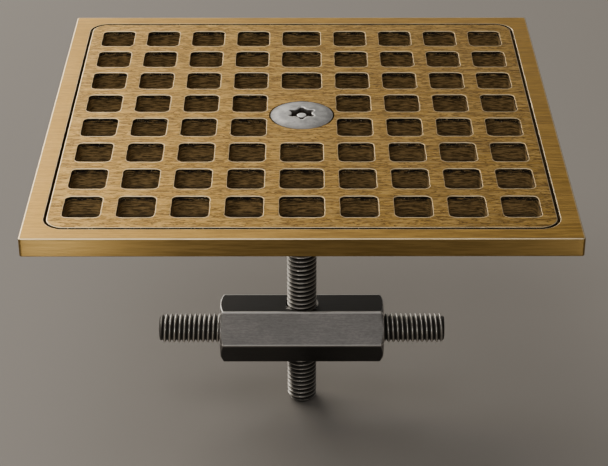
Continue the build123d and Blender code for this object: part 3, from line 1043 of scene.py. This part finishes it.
def bar_metal():
    """Dark ground steel, its grain running along the bar."""
    paint = Paint("clamp_bar_steel")
    wear_and_highlight, dark = paint.mark("wear_and_highlight"), paint.mark("patina_and_shade")
    grain = paint.grain((9, 0.22, 0.22), 5, 2.0)
    fine = paint.grain((1.6, 0.5, 0.5), 4, 5.0, 0.7)
    clouds = paint.grain((14, 7, 7), 4, 8.0)
    colour = paint.tint(paint.span(clouds, 0.35, 0.65), BAR_STEEL, BAR_DULL)
    colour = paint.tint(paint.span(grain, 0.62, 0.35, 0.0, 0.22), colour, BAR_DARK)
    colour = paint.tint(paint.span(fine, 0.60, 0.40, 0.0, 0.22), colour, BAR_DARK)
    # painted shade: the slanted upper faces stay pale, and the top and the faces that look down are painted
    # dark
    level = paint.calc("ABSOLUTE", paint.calc("SUBTRACT", paint.axis(paint.facing, "Z"), 0.2))
    colour = paint.tint(paint.span(level, 0.5, 0.75, 0.0, 0.95), colour, BAR_DARK)
    # painted highlight along the bar's edges
    colour = paint.tint(wear_and_highlight, colour, BAR_EDGE_HIGHLIGHT)
    # painted shade in the bores
    colour = paint.tint(dark, colour, BAR_DARK)
    roughness = paint.mix(paint.span(grain, 0.3, 0.7), 0.36, 0.46)
    height = paint.calc("MULTIPLY_ADD", fine, 0.5, grain)
    return paint.finish(colour, roughness, 1.0, height, 0.016 * MM)


frame_brass = brass("frame_brass", 0.12, 1.0)
strainer_brass = brass("strainer_brass", 0.9, 7.0)
head_steel = screw_metal("screw_head_steel", HEAD_TONES, 1.0, (0.46, 0.56))
shank_steel = screw_metal("shank_steel", SHANK_TONES, 6.0)
stud_steel = screw_metal("stud_steel", STUD_TONES, 11.0)
bar_steel = bar_metal()

# ---------------------------------------------------------------- pieces
add_piece("frame_casting", make_frame_mesh(), "frame", frame_brass, "frame")
add_piece("strainer_plate", make_strainer_mesh(), "strainer", strainer_brass, "strainer")
add_piece("screw_head", make_head_mesh(), "centre_screw", head_steel, "centre_screw")
add_piece("screw_thread", make_shank_mesh(), "centre_screw", shank_steel)
add_piece("clamp_bar_hexagon", make_bar_mesh(), "clamp_bar", bar_steel, "clamp_bar")
add_piece("stud_thread_right", make_stud_mesh(1), "right_stud", stud_steel, "right_stud")
add_piece("stud_thread_left", make_stud_mesh(-1), "left_stud", stud_steel, "left_stud")


# ---------------------------------------------------------------- floor, light and camera
FLOOR_COLOUR = (0.255, 0.236, 0.216, 1.0)
WORLD_COLOUR = (0.5, 0.49, 0.47, 1.0)
WORLD_STRENGTH = 0.26
CREAM_LIGHT = (1.0, 0.94, 0.84)
PALE_LIGHT = (1.0, 0.97, 0.93)
BACK_LIGHT = (1.0, 0.95, 0.87)
STRIP_LIGHT = (1.0, 0.95, 0.86)

# where the strips light the frame's front face
FRONT_LEFT = (-0.080, -0.089, 0.003)
FRONT_RIGHT = (0.085, -0.089, 0.003)

# the camera stands where the frame's corners fall as they do in the photograph
CAMERA_PLACE = (-0.35 * MM, -583.01 * MM, 288.23 * MM)
CAMERA_PITCH = math.radians(29.512)
CAMERA_YAW = math.radians(0.115)
CAMERA_LENS = 107.8
CAMERA_SENSOR = 36.0


def make_floor():
    """A wide plain floor at the height of the screw's tip."""
    half = 6.0
    mesh = bpy.data.meshes.new("studio_floor")
    corners = [(-half, -half), (half, -half), (half, half), (-half, half)]
    mesh.from_pydata([(x, y, screw_low[2]) for x, y in corners], [], [(0, 1, 2, 3)])
    floor = bpy.data.objects.new("studio_floor", mesh)
    bpy.context.scene.collection.objects.link(floor)
    material = bpy.data.materials.new("pale_floor")
    material.use_nodes = True
    surface = material.node_tree.nodes["Principled BSDF"]
    surface.inputs["Base Color"].default_value = FLOOR_COLOUR
    surface.inputs["Roughness"].default_value = 0.8
    mesh.materials.append(material)


def add_light(name, place, aim, width, height, power, colour):
    """A rectangular light that points at a place, its power in watts."""
    light = bpy.data.lights.new(name, "AREA")
    light.shape = "RECTANGLE"
    light.size = width
    light.size_y = height
    light.energy = power
    light.color = colour
    lamp = bpy.data.objects.new(name, light)
    lamp.location = place
    lamp.rotation_euler = (Vector(aim) - Vector(place)).to_track_quat("-Z", "Y").to_euler()
    bpy.context.scene.collection.objects.link(lamp)


make_floor()
add_light("panel_left", (-1.08, 1.10, 0.80), (0, 0, 0), 1.9, 0.9, 28, CREAM_LIGHT)
add_light("panel_above", (-0.35, -0.30, 1.4), (0, 0, 0), 1.1, 1.1, 11, PALE_LIGHT)
add_light("panel_back", (-0.35, 1.6, 0.50), (0, 0, 0), 1.3, 0.30, 1.3, BACK_LIGHT)
add_light("panel_front", (-0.10, -1.25, 0.50), (0, 0, -0.05), 0.9, 0.5, 1.7, PALE_LIGHT)
add_light("strip_left", (-0.0955, -0.189, -0.0545), FRONT_LEFT, 0.012, 0.030, 0.028, STRIP_LIGHT)
add_light("strip_right", (0.125, -0.199, -0.0605), FRONT_RIGHT, 0.02, 0.036, 0.012, STRIP_LIGHT)

world = bpy.data.worlds.new("studio")
world.use_nodes = True
sky = world.node_tree.nodes["Background"].inputs
sky["Color"].default_value = WORLD_COLOUR
sky["Strength"].default_value = WORLD_STRENGTH
bpy.context.scene.world = world

lens = bpy.data.cameras.new("camera")
lens.lens = CAMERA_LENS
lens.sensor_width = CAMERA_SENSOR
camera = bpy.data.objects.new("camera", lens)
camera.location = CAMERA_PLACE
camera.rotation_euler = (math.radians(90) - CAMERA_PITCH, 0.0, -CAMERA_YAW)
bpy.context.scene.collection.objects.link(camera)
bpy.context.scene.camera = camera
